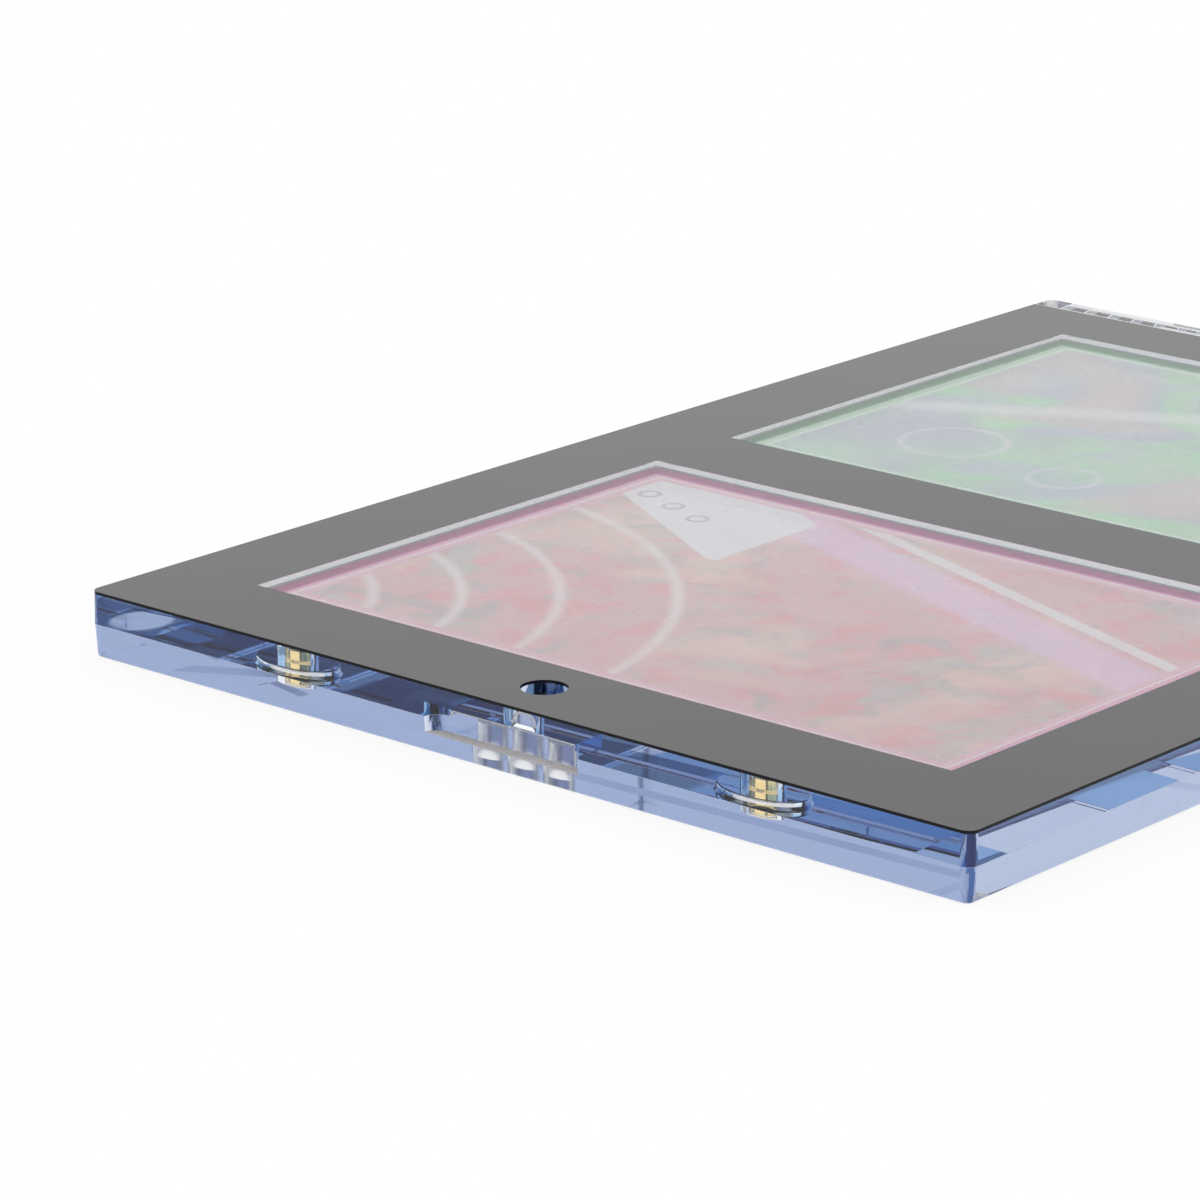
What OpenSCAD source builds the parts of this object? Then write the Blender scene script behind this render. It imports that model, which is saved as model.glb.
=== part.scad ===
// Display case for two trading cards.
// The cards lie one behind the other, long side along X, in shallow pockets of a clear base.
// A clear lid with a black frame hooks into a rail at the rear, and magnets hold it shut in front.
// X runs along the front edge, Y to the rear, Z up; the origin is the middle of the underside.

/* [Cards] */
// Width of a card, along the front edge
card_w = 88.9; // [60:0.1:120]
// Depth of a card, front to rear
card_d = 63.5; // [45:0.1:90]
// Thickness of a card
card_t = 0.35; // [0.2:0.05:0.8]
// Gap between a card and each wall of its pocket
card_gap = 0.3; // [0.1:0.05:0.5]
// Room left above a card in its pocket
card_headroom = 0.05; // [0.02:0.01:0.4]

/* [Windows] */
// How far the frame laps over each short side of a card
window_lap_x = 0.25; // [0:0.05:2]
// How far the frame laps over each long side of a card
window_lap_y = 0.2; // [0:0.05:0.5]
// Gap between the frame and the raised windows
window_gap = 0.05; // [0.02:0.01:0.2]

/* [Borders] */
// Black border at the left and right of the windows, on the top face
side_border = 11.45; // [9:0.05:20]
// Black border in front of the first window, on the top face
front_border = 12.35; // [12:0.05:20]
// Black bar between the windows
middle_bar = 12.6; // [4:0.1:25]
// From the rear window to the rear edge of the top face
rear_border = 13.35; // [8:0.05:25]

/* [Shells] */
// Thickness of the base
base_t = 3.5; // [3:0.1:6]
// Thickness of the lid with its frame
lid_t = 3.4; // [3:0.05:6]
// Air gap between the lid and the base
seam_gap = 0.05; // [0.02:0.01:0.15]
// Radius of the upright corners at the seam
corner_r = 1.2; // [0.9:0.1:4]
// How far the base's sides lean in from the seam to the underside
base_draft = 0.25; // [0:0.05:0.6]
// How far the lid's sides lean in from the seam to the top
lid_draft = 0.05; // [0:0.05:0.6]
// Chamfer round the underside
foot_chamfer = 0.15; // [0.05:0.05:0.25]

/* [Frame] */
// Thickness of the black frame
mask_t = 0.3; // [0.2:0.05:0.8]

/* [Rear rail] */
// Width of the clear rail along the rear edge
rail_w = 3.2; // [2.8:0.1:6]
// Gap between the rail and the lid
rail_gap = 0.15; // [0.1:0.05:0.4]
// Width of a lid tab
tab_w = 14; // [6:0.5:20]
// From the side of the case to the middle of a tab
tab_inset = 24.7; // [16:0.1:34]
// Thickness of a lid tab
tab_t = 1; // [0.6:0.05:1.4]
// How far a tab reaches behind the lid
tab_reach = 1.75; // [1:0.05:2]
// From the lid's underside up to a tab
tab_rise = 0.55; // [0.4:0.05:0.8]
// Gap round a tab in its slot
slot_gap = 0.2; // [0.1:0.05:0.3]

/* [Hanging hole] */
// From the front edge to the middle of the hanging hole
hole_y = 6.4; // [5.4:0.1:6.7]
// Diameter of the hole in the base
base_hole_d = 3.7; // [2:0.1:4]
// Diameter of the hole in the lid and its frame
lid_hole_d = 4.7; // [3:0.1:5.5]
// Diameter of the blind core holes in the underside
core_d = 3.7; // [2:0.1:3.8]
// From the hanging hole to a core hole
core_pitch = 4.5; // [4:0.1:5.5]
// Depth of a core hole
core_depth = 3; // [1:0.1:3.2]

/* [Opening notch] */
// Width of the notch in the front edge
notch_w = 19.5; // [17:0.5:30]
// Depth of the notch, and radius of its round ends
notch_depth = 1.65; // [1:0.05:2]
// Height of the notch's floor above the underside
notch_floor = 1.9; // [1:0.1:2.5]
// Height of the notch above the seam
notch_rise = 1.5; // [0.8:0.1:1.8]
// Width of the raised tongue behind the notch
tongue_w = 15.8; // [13.5:0.1:26]
// Height of the tongue above the seam
tongue_rise = 0.55; // [0.3:0.05:1]
// From the front edge to the back of the tongue
tongue_back = 10.2; // [9.2:0.1:11]
// Gap between the tongue and the lid
tongue_gap = 0.12; // [0.1:0.01:0.4]

/* [Magnets] */
// From the side of the case to the middle of a magnet
magnet_inset = 26.2; // [16:0.1:36]
// From the front edge to the middle of a magnet
magnet_y = 6.1; // [5.6:0.1:6.3]
// Diameter of a magnet
magnet_d = 3.5; // [2:0.1:4]
// Height of a magnet in the lid
magnet_t = 1.5; // [0.6:0.1:1.7]
// Height of a magnet in the base
base_magnet_t = 0.9; // [0.4:0.05:1]
// Diameter of the shallow recess round a lid holder
recess_d = 10.4; // [7:0.1:10.5]
// Depth of that recess
recess_t = 0.75; // [0.3:0.05:0.9]
// Chamfer round the mouth of that recess
recess_chamfer = 0.25; // [0.05:0.05:0.28]
// Diameter of a holder
holder_d = 5; // [4.6:0.1:6]
// Height of a lid holder
holder_h = 2.2; // [2.1:0.05:2.4]
// Height of a base holder
base_holder_h = 1.4; // [1.35:0.05:2.4]
// Thickness of a holder's floor, between the magnet and the seam
holder_floor = 0.4; // [0.3:0.05:0.5]
// Radial gap between a magnet and its holder
magnet_gap = 0.05; // [0.02:0.01:0.1]
// Radial gap between a holder and its pocket, also above the holder
holder_gap = 0.05; // [0.02:0.01:0.1]

/* [Hidden] */

$fn = 72;
clear_blue = [0.62, 0.69, 0.86, 0.45];
clear_grey = [0.85, 0.87, 0.92, 0.5];
gloss_black = [0.06, 0.06, 0.07];
gold = [0.86, 0.68, 0.32];
pink_card = [0.86, 0.66, 0.72];
green_card = [0.66, 0.82, 0.68];
// Overrun of every cut past the face that it opens
cut = 1;

window_w = card_w - 2 * window_lap_x;
window_d = card_d - 2 * window_lap_y;
case_w = window_w + 2 * side_border + 2 * lid_draft;
case_d = front_border + 2 * window_d + middle_bar + rear_border + 2 * lid_draft;
magnet_x = case_w / 2 - magnet_inset;
tab_x = case_w / 2 - tab_inset;
lid_z = base_t + seam_gap;
case_t = lid_z + lid_t;
mask_z = case_t - mask_t;
front_y = -case_d / 2;
rear_y = case_d / 2;
rail_y = rear_y - rail_w;
lid_rear_y = rail_y - rail_gap;
card_y = [front_y + lid_draft + front_border + window_d / 2,
    rear_y - lid_draft - rear_border - window_d / 2];
pocket_w = card_w + 2 * card_gap;
pocket_d = card_d + 2 * card_gap;
pocket_z = base_t - card_t - card_headroom;
tongue_front_y = front_y + notch_depth;
tongue_d = tongue_back - notch_depth;
tongue_z = base_t + tongue_rise;
tab_z = lid_z + tab_rise;
// The slot's floor is lower than its top is high, since the tab dips as the lid tilts
slot_floor_z = base_t;
slot_top_z = tab_z + tab_t + slot_gap;
slot_depth = tab_reach - rail_gap + slot_gap;
slot_w = tab_w + 2 * slot_gap;

// Places block(w, d, h) centred on X, with its front at y and its underside at z
module block(w, d, h, y, z) {
    translate([-w / 2, y, z])
        cube([w, d, h]);
}

// Cross-section of a plate of the given length; rows holds [height, inset] pairs from the bottom up
function section(length, rows) = concat(
    [for (i = [0 : len(rows) - 1]) [length / 2 - rows[i][1], rows[i][0]]],
    [for (i = [len(rows) - 1 : -1 : 0]) [rows[i][1] - length / 2, rows[i][0]]]);

// Half cross-section of one round corner of such a plate
function corner_section(rows) = concat(
    [[0, rows[0][0]]],
    [for (row = rows) [corner_r - row[1], row[0]]],
    [[0, rows[len(rows) - 1][0]]]);

// A plate of the case's outline whose sides follow rows
module drafted_plate(rows) {
    rotate([90, 0, 90])
        linear_extrude(height = case_w - 2 * corner_r, center = true)
            polygon(section(case_d, rows));
    rotate([90, 0, 0])
        linear_extrude(height = case_d - 2 * corner_r, center = true)
            polygon(section(case_w, rows));
    for (x = [-1, 1])
        for (y = [-1, 1])
            translate([x * (case_w / 2 - corner_r), y * (case_d / 2 - corner_r), 0])
                rotate_extrude()
                    polygon(corner_section(rows));
}

// Everything of the case above the seam, as one full block
module upper_block() {
    drafted_plate([[base_t, 0], [case_t, lid_draft]]);
}

// The lower plate, leaning in to the underside
module lower_block() {
    drafted_plate([[0, base_draft + foot_chamfer], [foot_chamfer, base_draft], [base_t, 0]]);
}

// Space in front of the rail, above a height
module ahead_of(y, z) {
    block(case_w + 2 * cut, y - front_y + cut, case_t, front_y - cut, z);
}

// The opening notch from z up to top, with round ends, open to the front
module opening_notch(z, top) {
    block(notch_w - 2 * notch_depth, notch_depth + cut, top - z, front_y - cut, z);
    for (x = [-1, 1])
        translate([x * (notch_w / 2 - notch_depth), front_y, z])
            cylinder(h = top - z, r = notch_depth);
}

// The tongue, larger by gap on its sides, its back and its top
module tongue(gap) {
    block(tongue_w + 2 * gap, tongue_d + gap, tongue_rise + gap, tongue_front_y, base_t);
}

// A pocket for a magnet holder of height h, opening at the seam
module holder_pocket(h) {
    translate([0, 0, -cut])
        cylinder(h = cut + h + holder_gap, d = holder_d + 2 * holder_gap);
}

// The shallow round recess about a holder, opening at the seam
module recess() {
    mouth_r = recess_d / 2 + recess_chamfer;
    translate([0, 0, -cut])
        cylinder(h = cut + recess_t, d = recess_d);
    translate([0, 0, -cut])
        cylinder(h = cut + recess_chamfer, r1 = mouth_r + cut, r2 = recess_d / 2);
}

// A clear plug of height h, which closes the pocket at the seam and holds the magnet
module magnet_holder(h) {
    difference() {
        cylinder(h = h, d = holder_d);
        translate([0, 0, holder_floor])
            cylinder(h = h, d = magnet_d + 2 * magnet_gap);
    }
}

// A disc magnet of height h, resting on its holder's floor
module magnet(h) {
    translate([0, 0, holder_floor])
        cylinder(h = h, d = magnet_d);
}

// Places a piece at a magnet of the lid; side is -1 at the left and 1 at the right
module at_lid_magnet(side) {
    translate([side * magnet_x, front_y + magnet_y, lid_z])
        children();
}

// Places a piece at a magnet of the base, upside down below the seam
module at_base_magnet(side) {
    translate([side * magnet_x, front_y + magnet_y, base_t])
        rotate([180, 0, 0])
            children();
}

module base_shell() {
    color(clear_blue)
        difference() {
            union() {
                lower_block();
                difference() {
                    upper_block();
                    ahead_of(rail_y, base_t);
                }
                tongue(0);
            }
            for (y = card_y)
                block(pocket_w, pocket_d, card_t + card_headroom + cut, y - pocket_d / 2, pocket_z);
            for (x = [-tab_x, tab_x])
                translate([x, 0, 0])
                    block(slot_w, slot_depth + cut, slot_top_z - slot_floor_z, rail_y - cut, slot_floor_z);
            opening_notch(notch_floor, tongue_z + cut);
            translate([0, front_y + hole_y, -cut])
                cylinder(h = tongue_z + 2 * cut, d = base_hole_d);
            for (x = [-core_pitch, core_pitch])
                translate([x, front_y + hole_y, -cut])
                    cylinder(h = core_depth + cut, d = core_d);
            for (side = [-1, 1])
                at_base_magnet(side)
                    holder_pocket(base_holder_h);
        }
}

module lid_shell() {
    color(clear_blue)
        difference() {
            union() {
                difference() {
                    upper_block();
                    translate([0, lid_rear_y, 0])
                        block(case_w + 2 * cut, case_d, case_t + cut, 0, 0);
                }
                for (x = [-tab_x, tab_x])
                    translate([x, 0, 0])
                        block(tab_w, tab_reach + tab_t, tab_t, lid_rear_y - tab_t, tab_z);
            }
            block(case_w + 2 * cut, case_d + 2 * cut, seam_gap + cut, front_y - cut, base_t - cut);
            difference() {
                block(case_w + 2 * cut, case_d + 2 * cut, mask_t + cut, front_y - cut, mask_z);
                for (y = card_y)
                    block(window_w - 2 * window_gap, window_d - 2 * window_gap, case_t,
                        y - window_d / 2 + window_gap, base_t);
            }
            opening_notch(base_t, base_t + notch_rise);
            tongue(tongue_gap);
            translate([0, front_y + hole_y, base_t])
                cylinder(h = case_t, d = lid_hole_d);
            for (side = [-1, 1])
                at_lid_magnet(side) {
                    holder_pocket(holder_h);
                    recess();
                }
        }
}

module frame_mask() {
    color(gloss_black)
        difference() {
            upper_block();
            block(case_w + 2 * cut, case_d + 2 * cut, mask_z, front_y - cut, 0);
            translate([0, lid_rear_y, 0])
                block(case_w + 2 * cut, case_d, case_t + cut, 0, 0);
            for (y = card_y)
                block(window_w, window_d, case_t, y - window_d / 2, base_t);
            translate([0, front_y + hole_y, base_t])
                cylinder(h = case_t, d = lid_hole_d);
        }
}

module card_at(y) {
    block(card_w, card_d, card_t, y - card_d / 2, pocket_z);
}

module card_front() {
    color(pink_card)
        card_at(card_y[0]);
}

module card_rear() {
    color(green_card)
        card_at(card_y[1]);
}

module lid_magnet_left() {
    color(gold)
        at_lid_magnet(-1)
            magnet(magnet_t);
}

module lid_magnet_right() {
    color(gold)
        at_lid_magnet(1)
            magnet(magnet_t);
}

module lid_holder_left() {
    color(clear_grey)
        at_lid_magnet(-1)
            magnet_holder(holder_h);
}

module lid_holder_right() {
    color(clear_grey)
        at_lid_magnet(1)
            magnet_holder(holder_h);
}

module base_magnet_left() {
    color(gold)
        at_base_magnet(-1)
            magnet(base_magnet_t);
}

module base_magnet_right() {
    color(gold)
        at_base_magnet(1)
            magnet(base_magnet_t);
}

module base_holder_left() {
    color(clear_grey)
        at_base_magnet(-1)
            magnet_holder(base_holder_h);
}

module base_holder_right() {
    color(clear_grey)
        at_base_magnet(1)
            magnet_holder(base_holder_h);
}

base_shell();
lid_shell();
frame_mask();
card_front();
card_rear();
lid_magnet_left();
lid_magnet_right();
lid_holder_left();
lid_holder_right();
base_magnet_left();
base_magnet_right();
base_holder_left();
base_holder_right();
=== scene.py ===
import math

import bmesh
import bpy
from mathutils import Euler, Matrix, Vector


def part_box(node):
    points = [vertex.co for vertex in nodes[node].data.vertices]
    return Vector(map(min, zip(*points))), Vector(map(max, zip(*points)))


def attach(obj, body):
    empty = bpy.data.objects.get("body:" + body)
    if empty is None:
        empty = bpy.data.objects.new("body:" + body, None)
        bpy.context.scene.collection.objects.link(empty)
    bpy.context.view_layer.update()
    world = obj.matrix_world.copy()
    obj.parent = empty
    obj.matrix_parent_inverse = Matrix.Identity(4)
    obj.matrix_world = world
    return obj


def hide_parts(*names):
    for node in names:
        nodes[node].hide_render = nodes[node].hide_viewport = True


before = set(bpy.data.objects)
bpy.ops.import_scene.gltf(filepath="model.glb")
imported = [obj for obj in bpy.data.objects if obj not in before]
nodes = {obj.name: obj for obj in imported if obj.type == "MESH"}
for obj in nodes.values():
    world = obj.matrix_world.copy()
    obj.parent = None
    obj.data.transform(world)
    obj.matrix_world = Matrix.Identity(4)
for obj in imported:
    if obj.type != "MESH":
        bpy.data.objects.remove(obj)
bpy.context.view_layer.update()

MM = 0.001

# Camera, as the photograph was taken
CAMERA_AT = (0.31972, -0.43982, 0.16405)
CAMERA_AZIMUTH = 40.675
CAMERA_ELEVATION = -17.028
CAMERA_ROLL = 0.199
CAMERA_LENS = 159.87
SENSOR = 36.0
CLIP_START = 0.01

# Clear plastic: index of refraction, tint, and how dense the tint is in the shells and in the plugs
IOR_ACRYLIC = 1.52
TINT = (0.05, 0.25, 0.625)
TINT_DENSITY = 6.5
PLUG_DENSITY = 3.0
# Faint waves in the moulded faces: their size in mm, their height and the range of roughness
WAVE_SIZE = 16
WAVE_HEIGHT = 0.0015 * MM
POLISH = (0.0, 0.003)

# Grain of the rough faces: its size in mm and its height
GRAIN_SIZE = 0.3
GRAIN_HEIGHT = 0.02 * MM

# Underside of the black layer, in mm. Its mirror's colours are painted reflection: patches of two blues, a
# lighter strip along the right side, and two ovals that mirror all light, given by middle and half widths;
# a darker strip along the left side is painted shade. All of it is placed one by one.
STRIP_START = 43
STRIP_FULL = 45
PAINTED_SHADE_STRIP_LEFT = (0.2, 0.31, 0.45)
PAINTED_LIGHT_STRIP_RIGHT = (0.75, 0.86, 0.95)
PAINTED_REFLECTION_DIM = (0.35, 0.56, 0.79)
PAINTED_REFLECTION_BRIGHT = (0.43, 0.64, 0.87)
PAINTED_REFLECTION_PATCH = 14
PAINTED_HIGHLIGHT_OVALS = (((-52, -61, 6.6), (3.2, 7, 1)), ((-21, 0, 6.6), (4.5, 7, 1)))
# Where an oval's soft edge ends and begins, as shares of its half widths
OVAL_EDGE = (1.1, 0.9)
# Share of a mirror wall's colour that is left in its darker waves
WALL_SHADE = 0.94

# Cards: their size, from the frame, and the softness of their printed borders, in mm
card_low, card_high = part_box("card_front")
CARD_WIDTH = (card_high.x - card_low.x) / MM
CARD_DEPTH = (card_high.y - card_low.y) / MM
BORDER_SOFT = 0.15

# Floor: half its width and its height in metres, and the share of its own glow where it is seen
FLOOR_HALF = 4.0
FLOOR_Z = -0.0001
FLOOR_GLOW = 0.88

# Optical contact: how far the black layer's faces lie inside the clear plastic
CONTACT = 0.02 * MM
CONTACT_TOP = CONTACT / 4
# How far the windows' upright walls reach over the plastic that they hold
WALL_LAP = 0.06 * MM
# Air left under each card
CARD_AIR = 0.02 * MM
# How far each magnet and the lid reach over their fit, so that no air is seen between
MAGNET_GRIP = 0.07 * MM
SEAM_CLOSE = 0.035 * MM
# Points nearer to a magnet's axis than this stay where they are
MAGNET_MIDDLE = 1 * MM

# Clean-up of the meshes: points this near are one, smaller turns are flat, larger turns are edges
WELD = 0.001 * MM
FLAT_ANGLE = math.radians(0.4)
SHARP_ANGLE = math.radians(30)
# A face is upright where its normal's Z is less than this, either way
UPRIGHT = 0.5
# A face lies level and looks up where its normal's Z is more than this
LEVEL_FACE = 0.9
# An upright face looks to a side where its normal's X is more than this, either way
SIDEWAYS = 0.5

# Widths of the rounded edges
EDGE = 0.06 * MM
RECESS_EDGE = 0.2 * MM
MAGNET_EDGE = 0.1 * MM
PLUG_EDGE = 0.05 * MM
CARD_EDGE = 0.04 * MM

# Limits on light bounces: light passes many faces on its way through the clear plastic
LEAST_BOUNCES = 60
MOST_BOUNCES = 90
GLOSSY_BOUNCES = 60


def put(tree, kind, **settings):
    """A shader node with the given settings."""
    made = tree.nodes.new(kind)
    for name, value in settings.items():
        setattr(made, name, value)
    return made


def feed(tree, socket, term):
    """Gives a socket a plain value or joins another node's output to it."""
    if isinstance(term, bpy.types.NodeSocket):
        tree.links.new(term, socket)
    elif isinstance(term, tuple) and len(term) == 3 and socket.type == "RGBA":
        socket.default_value = (*term, 1)
    else:
        socket.default_value = term


def calc(tree, operation, *terms):
    """Result of one sum in the shader; each term is a number or an output."""
    made = put(tree, "ShaderNodeMath", operation=operation)
    for index, term in enumerate(terms):
        feed(tree, made.inputs[index], term)
    return made.outputs[0]


def ramp(tree, value, low, high, to_low=0.0, to_high=1.0):
    """Smooth change from to_low to to_high as the value goes from low to high."""
    made = put(tree, "ShaderNodeMapRange", interpolation_type="SMOOTHSTEP")
    for index, term in enumerate((value, low, high, to_low, to_high)):
        feed(tree, made.inputs[index], term)
    return made.outputs[0]


def blend(tree, share, under, over):
    """Mixes two colours; they are the node's inputs 6 and 7, and the mix is its output 2."""
    made = put(tree, "ShaderNodeMix", data_type="RGBA")
    feed(tree, made.inputs[0], share)
    feed(tree, made.inputs[6], under)
    feed(tree, made.inputs[7], over)
    return made.outputs[2]


def in_mm(tree, centre=(0, 0, 0)):
    """Position on the piece in mm from a centre, in the row frame."""
    place = put(tree, "ShaderNodeTexCoord")
    scaled = put(tree, "ShaderNodeVectorMath", operation="MULTIPLY_ADD")
    tree.links.new(place.outputs["Object"], scaled.inputs[0])
    scaled.inputs[1].default_value = (1 / MM, 1 / MM, 1 / MM)
    scaled.inputs[2].default_value = tuple(-part for part in centre)
    return scaled.outputs[0]


def parts(tree, vector):
    """The three parts of a vector."""
    split = put(tree, "ShaderNodeSeparateXYZ")
    tree.links.new(vector, split.inputs[0])
    return split.outputs


def noise(tree, vector, size, detail=2.0, rough=0.5, twist=0.0):
    """Cloudy pattern from 0 to 1, of the given size in mm."""
    made = put(tree, "ShaderNodeTexNoise")
    feed(tree, made.inputs["Vector"], vector)
    feed(tree, made.inputs["Scale"], 1 / size)
    feed(tree, made.inputs["Detail"], detail)
    feed(tree, made.inputs["Roughness"], rough)
    feed(tree, made.inputs["Distortion"], twist)
    return made.outputs[0]


def stretched(tree, vector, scale):
    """The vector with each part scaled."""
    made = put(tree, "ShaderNodeVectorMath", operation="MULTIPLY")
    tree.links.new(vector, made.inputs[0])
    made.inputs[1].default_value = scale
    return made.outputs[0]


def spot(tree, place, centre, size):
    """1 in an oval round a centre, 0 outside of it; size holds its half widths."""
    off = put(tree, "ShaderNodeVectorMath", operation="SUBTRACT")
    tree.links.new(place, off.inputs[0])
    off.inputs[1].default_value = centre
    reach = put(tree, "ShaderNodeVectorMath", operation="LENGTH")
    tree.links.new(stretched(tree, off.outputs[0], tuple(1 / part for part in size)), reach.inputs[0])
    return ramp(tree, reach.outputs["Value"], *OVAL_EDGE)


def bump(tree, shader, height, depth):
    """Raises the surface by a pattern, whose full height is depth."""
    made = put(tree, "ShaderNodeBump")
    feed(tree, made.inputs["Strength"], 1.0)
    feed(tree, made.inputs["Distance"], depth)
    feed(tree, made.inputs["Height"], height)
    tree.links.new(made.outputs[0], shader.inputs["Normal"])


def new_material(name):
    """A material with an empty node tree, its tree and its output node."""
    material = bpy.data.materials.new(name)
    material.use_nodes = True
    tree = material.node_tree
    tree.nodes.clear()
    output = tree.nodes.new("ShaderNodeOutputMaterial")
    return material, tree, output


def principled(tree, output, **values):
    """A Principled shader with the given socket values, joined to the surface output."""
    shader = tree.nodes.new("ShaderNodeBsdfPrincipled")
    for socket, value in values.items():
        feed(tree, shader.inputs[socket.replace("_", " ")], value)
    tree.links.new(shader.outputs["BSDF"], output.inputs["Surface"])
    return shader


def tinted(tree, output, density):
    """Blue tint that deepens with the way through the plastic."""
    tint = put(tree, "ShaderNodeVolumeAbsorption")
    feed(tree, tint.inputs["Color"], TINT)
    feed(tree, tint.inputs["Density"], density)
    tree.links.new(tint.outputs["Volume"], output.inputs["Volume"])


def clear_plastic(name, density):
    """Polished tinted acrylic with the faint waves of a moulding."""
    material, tree, output = new_material(name)
    shader = principled(tree, output, Base_Color=(1, 1, 1), IOR=IOR_ACRYLIC, Transmission_Weight=1.0)
    tinted(tree, output, density)
    place = in_mm(tree)
    polish = ramp(tree, noise(tree, place, WAVE_SIZE / 2, 3.0), 0.35, 0.7, *POLISH)
    tree.links.new(polish, shader.inputs["Roughness"])
    bump(tree, shader, noise(tree, place, WAVE_SIZE, 1.0), WAVE_HEIGHT)
    return material


def frosted_plastic(name, colour, roughness, clear):
    """Rough acrylic, as it came from the mould; clear is the share of light that it lets through."""
    material, tree, output = new_material(name)
    shader = principled(tree, output, Base_Color=colour, Roughness=roughness, IOR=IOR_ACRYLIC,
                        Transmission_Weight=clear)
    tinted(tree, output, TINT_DENSITY)
    bump(tree, shader, noise(tree, in_mm(tree), GRAIN_SIZE, 3.0), GRAIN_HEIGHT)
    return material


def dull_black(name):
    """The cut edges of the black film."""
    material, tree, output = new_material(name)
    marks = noise(tree, stretched(tree, in_mm(tree), (1, 1, 4)), 0.6, 3.0)
    colour = blend(tree, marks, (0.003, 0.003, 0.005), (0.007, 0.007, 0.012))
    shader = principled(tree, output, Base_Color=colour, Roughness=0.35, IOR=1.5,
                        Specular_IOR_Level=0.15)
    bump(tree, shader, marks, 0.003 * MM)
    return material


def gloss_black(name):
    """Gloss black plastic film, with faint rub marks in its polish and a faint blue tint painted into its
    reflections.
    """
    material, tree, output = new_material(name)
    place = in_mm(tree)
    haze = noise(tree, place, 22, 4.0, 0.6)
    scuffs = noise(tree, stretched(tree, place, (1, 0.12, 1)), 1.4, 3.0, 0.6)
    colour = blend(tree, ramp(tree, haze, 0.35, 0.7), (0.002, 0.002, 0.0025), (0.006, 0.006, 0.007))
    polish = ramp(tree, scuffs, 0.4, 0.75, 0.03, 0.09)
    shader = principled(tree, output, Base_Color=colour, Roughness=polish, IOR=1.48,
                        Specular_Tint=(0.95, 0.95, 1.0))
    bump(tree, shader, haze, 0.004 * MM)
    return material


def print_back_painted_light(name):
    """The underside of the black layer: dark, and a dim blue mirror for light that grazes it, whose
    colours are painted reflection and painted shade.
    """
    material, tree, output = new_material(name)
    place = in_mm(tree)
    x = parts(tree, place)[0]
    dark = principled(tree, output, Base_Color=(0.003, 0.004, 0.008), Roughness=0.5,
                      Specular_IOR_Level=0.0)
    mirror = put(tree, "ShaderNodeBsdfGlossy")
    # Painted reflection in blue patches, a lighter right strip and two white ovals; painted shade in a
    # darker left strip
    patches = ramp(tree, noise(tree, place, PAINTED_REFLECTION_PATCH, 1.0), 0.4, 0.65)
    dim = blend(tree, patches, PAINTED_REFLECTION_DIM, PAINTED_REFLECTION_BRIGHT)
    dim = blend(tree, ramp(tree, x, -STRIP_START, -STRIP_FULL), dim, PAINTED_SHADE_STRIP_LEFT)
    dim = blend(tree, ramp(tree, x, STRIP_START, STRIP_FULL), dim, PAINTED_LIGHT_STRIP_RIGHT)
    full = calc(tree, "MAXIMUM", *[spot(tree, place, *oval) for oval in PAINTED_HIGHLIGHT_OVALS])
    feed(tree, mirror.inputs["Color"], blend(tree, full, dim, (1.0, 1.0, 1.0)))
    feed(tree, mirror.inputs["Roughness"], 0.0)
    facing = put(tree, "ShaderNodeLayerWeight")
    feed(tree, facing.inputs["Blend"], 0.5)
    grazing = ramp(tree, facing.outputs["Facing"], 0.0, 0.6)
    mix = put(tree, "ShaderNodeMixShader")
    tree.links.new(grazing, mix.inputs[0])
    tree.links.new(dark.outputs["BSDF"], mix.inputs[1])
    tree.links.new(mirror.outputs["BSDF"], mix.inputs[2])
    tree.links.new(mix.outputs["Shader"], output.inputs["Surface"])
    return material


def wall_mirror(name, colour, roughness):
    """An upright inner wall, drawn as an opaque mirror for the light in the plastic."""
    material, tree, output = new_material(name)
    mirror = put(tree, "ShaderNodeBsdfGlossy")
    wave = noise(tree, in_mm(tree), 3, 2.0)
    darker = tuple(WALL_SHADE * part for part in colour)
    feed(tree, mirror.inputs["Color"], blend(tree, wave, colour, darker))
    feed(tree, mirror.inputs["Roughness"], roughness)
    bump(tree, mirror, wave, 0.002 * MM)
    tree.links.new(mirror.outputs["BSDF"], output.inputs["Surface"])
    return material


def gold(name):
    """Bright gold plating with fine marks."""
    material, tree, output = new_material(name)
    place = in_mm(tree)
    marks = noise(tree, stretched(tree, place, (1, 1, 4)), 0.5, 4.0, 0.6)
    colour = blend(tree, marks, (0.93, 0.68, 0.24), (1.0, 0.82, 0.42))
    polish = ramp(tree, marks, 0.3, 0.7, 0.06, 0.2)
    shader = principled(tree, output, Base_Color=colour, Metallic=1.0, Roughness=polish)
    bump(tree, shader, marks, 0.003 * MM)
    return material


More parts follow.
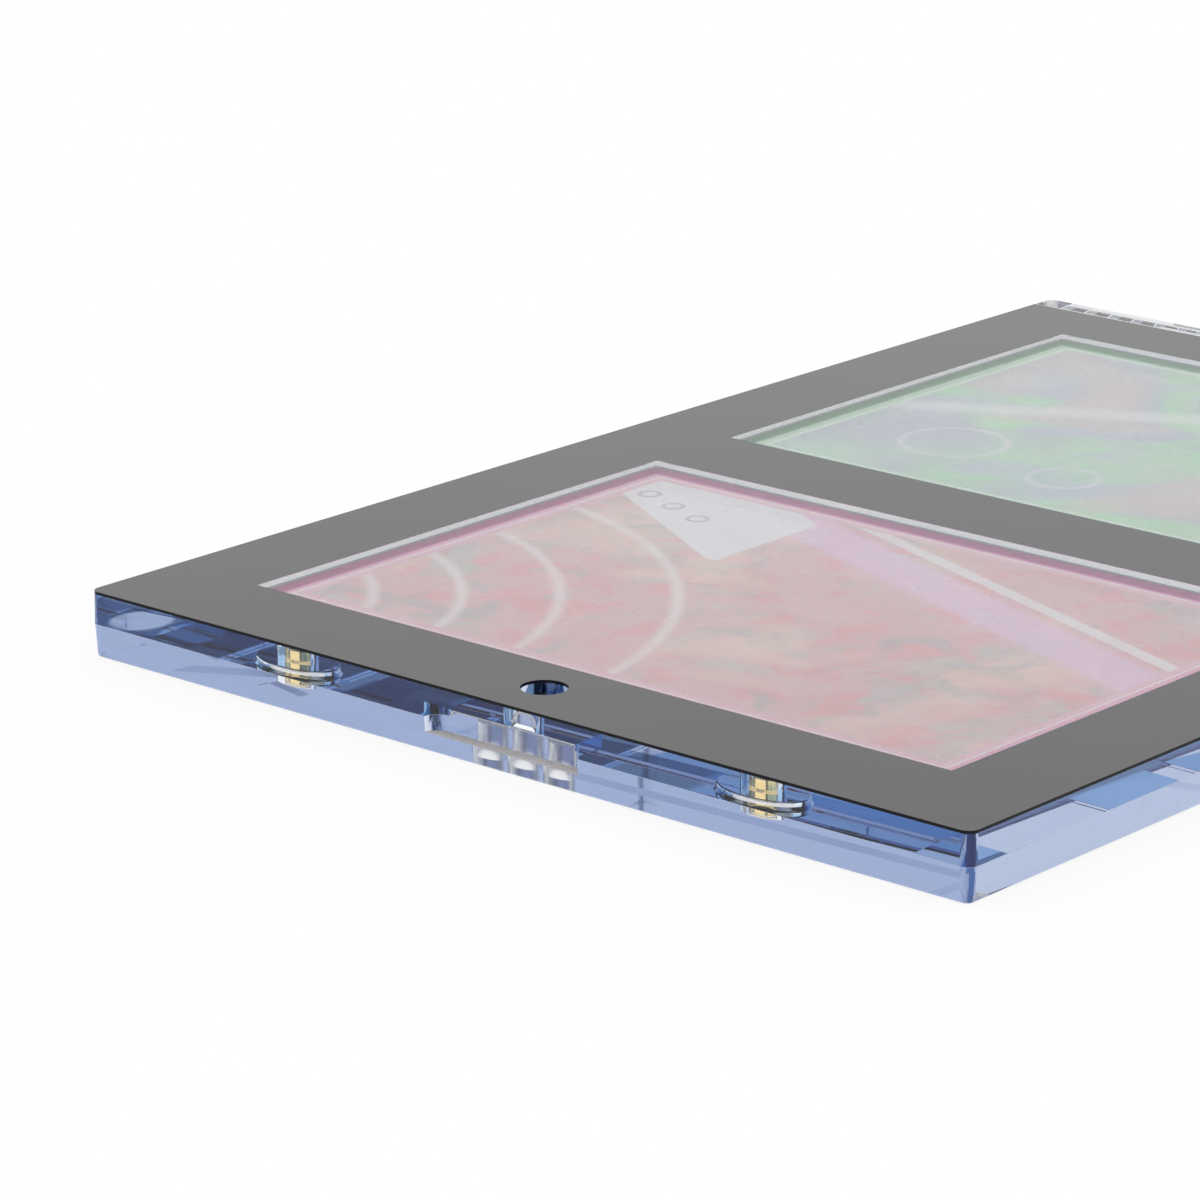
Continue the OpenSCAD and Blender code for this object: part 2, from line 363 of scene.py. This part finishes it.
class Print:
    """A printed picture, built up from shapes laid one over the other, in mm from the card's middle."""

    def __init__(self, name, centre):
        self.material, self.tree, self.output = new_material(name)
        self.place = in_mm(self.tree, centre)
        self.x, self.y = parts(self.tree, self.place)[:2]
        self.colour = (1, 1, 1)

    def lay(self, share, colour, strength=1.0):
        """Lays a colour over the picture where share is 1."""
        if strength < 1:
            share = calc(self.tree, "MULTIPLY", share, strength)
        self.colour = blend(self.tree, share, self.colour, colour)

    def cloud(self, size, low, high, detail=3.0, twist=0.5):
        """Soft patches of the given size."""
        return ramp(self.tree, noise(self.tree, self.place, size, detail, 0.55, twist), low, high)

    def box(self, x, y, width, depth, soft):
        """1 inside a rectangle."""
        tree = self.tree
        across = calc(tree, "ABSOLUTE", calc(tree, "SUBTRACT", self.x, x))
        side = calc(tree, "SUBTRACT", width / 2, across)
        along = calc(tree, "ABSOLUTE", calc(tree, "SUBTRACT", self.y, y))
        end = calc(tree, "SUBTRACT", depth / 2, along)
        return ramp(tree, calc(tree, "MINIMUM", side, end), 0.0, soft)

    def away(self, x, y):
        """Distance from a point."""
        tree = self.tree
        over = calc(tree, "POWER", calc(tree, "SUBTRACT", self.x, x), 2.0)
        up = calc(tree, "POWER", calc(tree, "SUBTRACT", self.y, y), 2.0)
        return calc(tree, "SQRT", calc(tree, "ADD", over, up))

    def ring(self, x, y, radius, width, soft):
        """1 on a circle of the given line width."""
        tree = self.tree
        off = calc(tree, "ABSOLUTE", calc(tree, "SUBTRACT", self.away(x, y), radius))
        return ramp(tree, calc(tree, "SUBTRACT", width / 2, off), 0.0, soft)

    def slope(self, x_share, y_share, start, width, soft):
        """1 in a slanting band, whose middle is where x * x_share + y * y_share is start."""
        tree = self.tree
        across = calc(tree, "MULTIPLY", self.x, x_share)
        along = calc(tree, "MULTIPLY", self.y, y_share)
        off = calc(tree, "ABSOLUTE", calc(tree, "SUBTRACT", calc(tree, "ADD", across, along), start))
        return ramp(tree, calc(tree, "SUBTRACT", width / 2, off), 0.0, soft)

    def both(self, one, other):
        """1 where both shapes are."""
        return calc(self.tree, "MULTIPLY", one, other)

    def borders(self, rings):
        """Lays one border after another, each from its inset in mm out to the card's edge."""
        for inset, colour in rings:
            inside = self.box(0, 0, CARD_WIDTH - 2 * inset, CARD_DEPTH - 2 * inset, BORDER_SOFT)
            self.lay(calc(self.tree, "SUBTRACT", 1.0, inside), colour)

    def finish(self):
        """Semi-gloss coated card."""
        tree = self.tree
        grain = noise(tree, self.place, 0.25, 2.0)
        polish = ramp(tree, noise(tree, self.place, 9, 3.0), 0.3, 0.7, 0.22, 0.36)
        shader = principled(tree, self.output, Base_Color=self.colour, Roughness=polish, IOR=1.5)
        bump(tree, shader, grain, 0.004 * MM)
        return self.material


def card_back(name):
    """Plain pale back and cut edges of a card."""
    material, tree, output = new_material(name)
    grain = noise(tree, in_mm(tree), 0.4, 3.0)
    colour = blend(tree, grain, (0.7, 0.71, 0.74), (0.8, 0.81, 0.83))
    shader = principled(tree, output, Base_Color=colour, Roughness=0.5, IOR=1.5)
    bump(tree, shader, grain, 0.004 * MM)
    return material


def front_print(name, centre):
    """Pink edged picture: rose haze, pale sweeping lines, a lilac band and a light panel."""
    sheet = Print(name, centre)
    sheet.colour = (0.72, 0.26, 0.3)
    sheet.lay(sheet.cloud(16, 0.46, 0.64, 2.0), (0.42, 0.38, 0.34), 0.9)
    sheet.lay(sheet.cloud(6, 0.46, 0.66, 3.0), (0.86, 0.05, 0.12), 0.85)
    sheet.lay(sheet.cloud(19, 0.48, 0.66, 2.0), (0.9, 0.5, 0.38), 0.8)
    sheet.lay(sheet.cloud(10, 0.54, 0.7, 3.0, 1.2), (0.18, 0.22, 0.22), 0.6)
    for radius in (22, 31, 41, 53):
        sheet.lay(sheet.ring(-52, -38, radius, 2.4, 1.2), (1.0, 0.86, 0.84), 0.75)
    sheet.lay(sheet.slope(0.34, 0.94, 17, 9, 2.5), (0.9, 0.48, 0.86), 0.75)
    sheet.lay(sheet.slope(0.34, 0.94, 22.4, 2.2, 0.5), (0.95, 0.93, 0.95), 0.85)
    panel = sheet.both(sheet.box(-30, 20, 27, 24, 0.5), sheet.slope(0.5, 0.87, 6, 16, 0.5))
    sheet.lay(panel, (0.92, 0.92, 0.95))
    for x in (-38, -33, -28):
        sheet.lay(sheet.ring(x, 23 - (x + 38) * 0.4, 1.1, 0.8, 0.3), (0.3, 0.32, 0.4))
    sheet.borders(((3.9, (0.86, 0.3, 0.46)), (3.0, (0.95, 0.66, 0.7)), (2.6, (0.9, 0.05, 0.42))))
    return sheet.finish()


def rear_print(name, centre):
    """Green edged picture: green and blue haze, a pale diagonal band and thin rings."""
    sheet = Print(name, centre)
    sheet.colour = (0.26, 0.34, 0.48)
    sheet.lay(sheet.cloud(24, 0.36, 0.52, 1.0), (0.1, 0.78, 0.2), 0.95)
    sheet.lay(sheet.cloud(21, 0.44, 0.6, 1.0, 1.0), (0.28, 0.32, 0.6), 0.85)
    sheet.lay(sheet.cloud(27, 0.52, 0.66, 1.0), (0.6, 0.42, 0.38), 0.8)
    sheet.lay(sheet.slope(0.5, -0.87, 4, 15, 9), (0.26, 0.74, 0.36), 0.6)
    sheet.lay(sheet.slope(0.5, -0.87, -16, 7, 3), (0.86, 0.88, 0.86), 0.7)
    for x, y, radius in ((-26, -14, 6), (8, 12, 8), (24, -6, 5), (-8, -18, 4)):
        sheet.lay(sheet.ring(x, y, radius, 1.6, 0.8), (0.8, 0.78, 0.9), 0.6)
    sheet.lay(sheet.box(30, 20, 20, 9, 1.0), (0.75, 0.6, 0.66), 0.7)
    sheet.borders(((3.5, (0.5, 0.85, 0.56)), (2.8, (0.06, 0.55, 0.14))))
    return sheet.finish()


def welded(node):
    """The node's solid as an open mesh with whole flat faces, in the row frame."""
    solid = bmesh.new()
    solid.from_mesh(nodes[node].data)
    bmesh.ops.remove_doubles(solid, verts=solid.verts, dist=WELD)
    bmesh.ops.dissolve_limit(solid, angle_limit=FLAT_ANGLE, verts=solid.verts, edges=solid.edges)
    return solid


def sharp_edges(solid, wanted):
    """The edges that turn sharply and whose middle the given test accepts."""
    found = []
    for edge in solid.edges:
        middle = (edge.verts[0].co + edge.verts[1].co) / 2
        if edge.calc_face_angle(0) > SHARP_ANGLE and wanted(middle):
            found.append(edge)
    return found


def round_edges(solid, edges, width, steps=2):
    """Rounds the given edges."""
    bmesh.ops.bevel(solid, geom=edges, offset=width, segments=steps, profile=0.5, affect="EDGES")


def shade(mesh):
    """Smooths the shading over gentle turns only, and keeps large flat faces flat."""
    around = {}
    for face in mesh.polygons:
        for index in face.vertices:
            around.setdefault(index, []).append(face)
    gentle = math.cos(SHARP_ANGLE)
    normals = []
    for face in mesh.polygons:
        for index in face.vertices:
            total = Vector()
            for other in around[index]:
                if other.normal.dot(face.normal) > gentle:
                    total += other.normal * other.area
            normals.append(total.normalized())
    mesh.shade_smooth()
    mesh.normals_split_custom_set(normals)


def piece(name, solid, body, stands_for, materials):
    """Makes a visible piece from a finished mesh."""
    bmesh.ops.recalc_face_normals(solid, faces=solid.faces)
    mesh = bpy.data.meshes.new(name)
    solid.to_mesh(mesh)
    solid.free()
    for material in materials:
        mesh.materials.append(material)
    shade(mesh)
    made = bpy.data.objects.new(name, mesh)
    bpy.context.collection.objects.link(made)
    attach(made, body)
    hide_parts(stands_for)


def upright(face):
    """Whether a face stands upright."""
    return abs(face.normal.z) < UPRIGHT


def paint(solid, materials, finish):
    """Gives each face the material that finish picks for it."""
    for face in solid.faces:
        face.material_index = materials.index(finish(face))


def anywhere(at):
    """Accepts every point."""
    return True


def middle_mm(node):
    """The middle of a node's box in mm."""
    low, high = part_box(node)
    return tuple(part / MM for part in (low + high) / 2)


acrylic = clear_plastic("acrylic", TINT_DENSITY)
ledge = frosted_plastic("acrylic_ledge", (0.95, 0.9, 0.9), 0.55, 0.3)
frosted = frosted_plastic("acrylic_frosted", (0.98, 0.98, 1.0), 0.35, 0.96)
satin = frosted_plastic("acrylic_satin", (0.97, 0.98, 1.0), 0.2, 0.97)
# Painted shade: dark blue faces on the front right upright corner of the lid and of the base
corner_painted_shade_lid = frosted_plastic("acrylic_corner_lid_painted_shade", (0.012, 0.04, 0.2), 0.15, 0.5)
corner_painted_shade_base = frosted_plastic("acrylic_corner_base_painted_shade", (0.08, 0.18, 0.5), 0.25, 0.35)
pocket_wall = wall_mirror("acrylic_pocket_wall", (0.93, 0.95, 1.0), 0.14)
# The windows' walls are opaque blue mirrors whose colours are painted reflection, darker on the sides as
# painted shade
window_side_painted_shade = wall_mirror("print_window_side", (0.34, 0.39, 0.56), 0.0)
window_end_painted_reflection = wall_mirror("print_window_end", (0.4, 0.48, 0.7), 0.0)
plug = clear_plastic("plug_acrylic", PLUG_DENSITY)
black = gloss_black("black_gloss")
dull = dull_black("black_edge")
back = print_back_painted_light("print_back_painted_light")
plated = gold("gold_plate")
pink = front_print("card_pink", middle_mm("card_front"))
green = rear_print("card_green", middle_mm("card_rear"))
paper = card_back("card_back")

base_low, base_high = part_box("base_shell")
lid_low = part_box("lid_shell")[0]
mask_low, mask_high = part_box("frame_mask")
# Heights: the seam, the notch's floor, how near counts as on it, and how far over the seam the rail begins
SEAM = lid_low.z
NOTCH_FLOOR = 1.9 * MM
LEVEL = 0.02 * MM
RAIL_CLEAR = 1 * MM
# The hanging hole and the core holes beside it
HOLE_Y = -75.9 * MM
CORE_PITCH = 4.5 * MM
BORE_R = 1.9 * MM
# The magnets' axes, the same in the lid and the base
magnet_low, magnet_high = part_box("lid_magnet_right")
MAGNET_X = (magnet_low.x + magnet_high.x) / 2
MAGNET_Y = (magnet_low.y + magnet_high.y) / 2
# The lid's recesses: height of their ceiling, the part of the lid that holds them, and their plug's reach
RECESS_Z = 4.3 * MM
RECESS_PAST_X = 20 * MM
RECESS_PAST_Y = -70 * MM
PLUG_REACH = 4 * MM
# Where the lid's tabs begin
TAB_START = 79 * MM
# The region with the card pockets: its half width, and its near and far reach to front and rear
POCKET_FLOOR = 3.11 * MM
POCKET_HALF = 45 * MM
POCKET_NEAR = 5 * MM
POCKET_FAR = 71 * MM
# The windows' walls, and the region that holds them
WINDOW_X = 44.2 * MM
WINDOW_NEAR = 6.8 * MM
WINDOW_FAR = 69.9 * MM
WINDOWS_X = 45 * MM
WINDOWS_Y = 72 * MM
# The rail's slots
SLOT_X = 31 * MM
SLOT_HALF = 7.5 * MM
SLOT_START = 79.2 * MM
SLOT_END = 82 * MM
SLOT_FLOOR = base_low.z + 3.5 * MM
# Where the round upright corners begin, and from how far on the front right one is painted darker, as
# painted shade
CORNER_X = 54.52 * MM
CORNER_Y = 81.12 * MM
CORNER_MIDDLE = 0.63 * MM
CORNER_EDGE = 0.38 * MM
# Width of the band along the case's outline that counts as its rim
RIM_MARGIN = 0.6 * MM


def in_bore(at):
    """Whether a point lies on the hanging hole or a core hole of the base."""
    for x in (-CORE_PITCH, 0, CORE_PITCH):
        if math.hypot(at.x - x, at.y - HOLE_Y) < BORE_R:
            return True
    return False


def in_pocket(at):
    """Whether a point lies between the walls of a card pocket, above its floor."""
    inside = abs(at.x) < POCKET_HALF and POCKET_NEAR < abs(at.y) < POCKET_FAR
    return inside and POCKET_FLOOR < at.z < SEAM


def in_slot(at):
    """Whether a point lies in one of the rail's slots."""
    inside = abs(abs(at.x) - SLOT_X) < SLOT_HALF and SLOT_START < at.y < SLOT_END
    return inside and at.z > SLOT_FLOOR


def front_corner(at):
    """Whether a point lies on the part of the front right upright corner that is painted darker, as
    painted shade.
    """
    return at.x > CORNER_X + CORNER_MIDDLE and at.y < -CORNER_Y - CORNER_EDGE


def rear_corner(at):
    """Whether a point lies on a round upright corner at the rear."""
    return abs(at.x) > CORNER_X and at.y > CORNER_Y


def on_rail_rim(at):
    """Whether a point lies on the outline of the case, up on the rail."""
    side = abs(at.x) > base_high.x - RIM_MARGIN
    end = at.y > base_high.y - RIM_MARGIN or at.y < base_low.y + RIM_MARGIN
    return (side or end) and at.z > SEAM + RAIL_CLEAR


def on_tab(at):
    """Whether a point lies on one of the lid's tabs."""
    return at.y > TAB_START


def on_recess_ceiling(at):
    """Whether a point lies on an edge at the height of the recesses' ceilings."""
    return abs(at.z - RECESS_Z) < WELD and abs(at.x) > RECESS_PAST_X and at.y < RECESS_PAST_Y


def base_finish_and_shade(face):
    """The finish of a face of the base, with painted shade on the front right corner."""
    at = face.calc_center_median()
    if face.normal.z > LEVEL_FACE and abs(at.z - NOTCH_FLOOR) < LEVEL:
        return ledge
    if in_bore(at):
        return frosted
    if upright(face) and in_pocket(at):
        return pocket_wall
    if in_slot(at):
        return satin
    # Painted shade: the front right corner is drawn darker
    if at.z < SEAM and front_corner(at):
        return corner_painted_shade_base
    if rear_corner(at):
        return frosted
    return acrylic


def base():
    """The base with its rail."""
    solid = welded("base_shell")
    round_edges(solid, sharp_edges(solid, on_rail_rim), EDGE)
    materials = [acrylic, ledge, frosted, pocket_wall, satin, corner_painted_shade_base]
    paint(solid, materials, base_finish_and_shade)
    piece("base_plate", solid, "base", "base_shell", materials)


def from_magnet(at):
    """Distance of a point from the nearer magnet's axis."""
    return math.hypot(abs(at.x) - MAGNET_X, at.y - MAGNET_Y)


def lid_finish_and_shade(face):
    """The finish of a face of the lid, with painted shade on the front right corner."""
    return corner_painted_shade_lid if front_corner(face.calc_center_median()) else acrylic


def lid():
    """The lid with its tabs."""
    solid = welded("lid_shell")
    round_edges(solid, sharp_edges(solid, on_tab), EDGE)
    ceilings = sharp_edges(solid, on_recess_ceiling)
    wide = [edge for edge in ceilings if from_magnet(edge.verts[0].co) > PLUG_REACH]
    round_edges(solid, wide, RECESS_EDGE, 3)
    for vert in solid.verts:
        if vert.co.z < lid_low.z + WELD:
            vert.co.z -= SEAM_CLOSE
    materials = [acrylic, corner_painted_shade_lid]
    paint(solid, materials, lid_finish_and_shade)
    piece("lid_plate", solid, "lid", "lid_shell", materials)


def mask_finish_and_painted_light(face):
    """The finish of a face of the black layer, with painted reflection and shade on its underside and on
    the windows' walls.
    """
    at = face.calc_center_median()
    if face.normal.z < -UPRIGHT:
        return back
    if not upright(face):
        return black
    # The windows' walls: painted reflection, darker on the sides as painted shade
    if abs(at.x) < WINDOWS_X and abs(at.y) < WINDOWS_Y:
        return window_side_painted_shade if abs(face.normal.x) > SIDEWAYS else window_end_painted_reflection
    return dull


def mask():
    """The black layer, whose windows lap over the plastic that they hold."""
    solid = welded("frame_mask")
    middle = (mask_low + mask_high) / 2
    for vert in solid.verts:
        on_wall = abs(abs(vert.co.x) - WINDOW_X) < WELD and abs(vert.co.y) < WINDOWS_Y
        if on_wall and vert.co.z > middle.z:
            window_y = math.copysign((WINDOW_FAR + WINDOW_NEAR) / 2, vert.co.y)
            vert.co.x -= math.copysign(WALL_LAP, vert.co.x)
            vert.co.y -= math.copysign(WALL_LAP, vert.co.y - window_y)
    for vert in solid.verts:
        vert.co.z -= CONTACT if vert.co.z < middle.z else CONTACT_TOP
    materials = [black, back, dull, window_side_painted_shade, window_end_painted_reflection]
    paint(solid, materials, mask_finish_and_painted_light)
    piece("black_frame", solid, "lid", "frame_mask", materials)


def card(node, name, picture):
    """A card with its picture on top."""
    solid = welded(node)
    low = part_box(node)[0]
    for vert in solid.verts:
        if vert.co.z < low.z + WELD:
            vert.co.z += CARD_AIR
    round_edges(solid, list(solid.edges), CARD_EDGE)

    def card_finish(face):
        """The finish of a face of the card."""
        return paper if face.normal.z < UPRIGHT else picture

    materials = [picture, paper]
    paint(solid, materials, card_finish)
    piece(name, solid, "base", node, materials)


def magnets():
    """The four gold discs and their plugs."""
    for body in ("lid", "base"):
        for side in ("left", "right"):
            disc = f"{body}_magnet_{side}"
            solid = welded(disc)
            round_edges(solid, sharp_edges(solid, anywhere), MAGNET_EDGE)
            for vert in solid.verts:
                away = Vector((abs(vert.co.x) - MAGNET_X, vert.co.y - MAGNET_Y))
                if away.length > MAGNET_MIDDLE:
                    away = away * ((away.length + MAGNET_GRIP) / away.length)
                    vert.co.x = math.copysign(MAGNET_X + away.x, vert.co.x)
                    vert.co.y = MAGNET_Y + away.y
            piece(f"{body}_disc_{side}", solid, body, disc, [plated])
            holder = f"{body}_holder_{side}"
            solid = welded(holder)
            round_edges(solid, sharp_edges(solid, anywhere), PLUG_EDGE)
            piece(f"{body}_plug_{side}", solid, body, holder, [plug])


def floor():
    """Plain white table top, which shows the case's shadow only faintly."""
    mesh = bpy.data.meshes.new("floor")
    corners = []
    for x, y in ((-1, -1), (1, -1), (1, 1), (-1, 1)):
        corners.append((x * FLOOR_HALF, y * FLOOR_HALF, FLOOR_Z))
    mesh.from_pydata(corners, [], [(0, 1, 2, 3)])
    plane = bpy.data.objects.new("floor", mesh)
    bpy.context.collection.objects.link(plane)
    material, tree, output = new_material("floor")
    matte = principled(tree, output, Base_Color=(1, 1, 1), Roughness=1.0, Specular_IOR_Level=0.0)
    glow = put(tree, "ShaderNodeEmission")
    feed(tree, glow.inputs["Color"], (1, 1, 1))
    feed(tree, glow.inputs["Strength"], 1.0)
    path = put(tree, "ShaderNodeLightPath")
    seen = calc(tree, "MAXIMUM", path.outputs["Is Camera Ray"], path.outputs["Is Glossy Ray"])
    seen = calc(tree, "MAXIMUM", seen, path.outputs["Is Transmission Ray"])
    share = calc(tree, "MULTIPLY", seen, FLOOR_GLOW)
    mix = put(tree, "ShaderNodeMixShader")
    tree.links.new(share, mix.inputs[0])
    tree.links.new(matte.outputs["BSDF"], mix.inputs[1])
    tree.links.new(glow.outputs[0], mix.inputs[2])
    tree.links.new(mix.outputs["Shader"], output.inputs["Surface"])
    mesh.materials.append(material)


def studio():
    """Plain white light from all round."""
    world = bpy.data.worlds.new("studio")
    world.use_nodes = True
    light = world.node_tree.nodes["Background"]
    light.inputs["Color"].default_value = (1, 1, 1, 1)
    light.inputs["Strength"].default_value = 1.0
    bpy.context.scene.world = world


def camera():
    """The camera, where the photograph was taken from."""
    data = bpy.data.cameras.new("camera")
    data.lens = CAMERA_LENS
    data.sensor_width = SENSOR
    data.clip_start = CLIP_START
    view = bpy.data.objects.new("camera", data)
    bpy.context.collection.objects.link(view)
    tilt = math.radians(90 + CAMERA_ELEVATION)
    turn = Euler((tilt, 0, math.radians(CAMERA_AZIMUTH)), "XYZ").to_matrix()
    roll = Euler((0, 0, math.radians(CAMERA_ROLL)), "XYZ").to_matrix()
    view.matrix_world = (turn @ roll).to_4x4()
    view.location = CAMERA_AT
    bpy.context.scene.camera = view


base()
lid()
mask()
card("card_front", "front_card", pink)
card("card_rear", "rear_card", green)
magnets()
floor()
studio()
camera()
scene = bpy.context.scene
scene.view_settings.view_transform = "Standard"
scene.cycles.min_light_bounces = LEAST_BOUNCES
scene.cycles.max_bounces = MOST_BOUNCES
scene.cycles.transmission_bounces = MOST_BOUNCES
scene.cycles.glossy_bounces = GLOSSY_BOUNCES
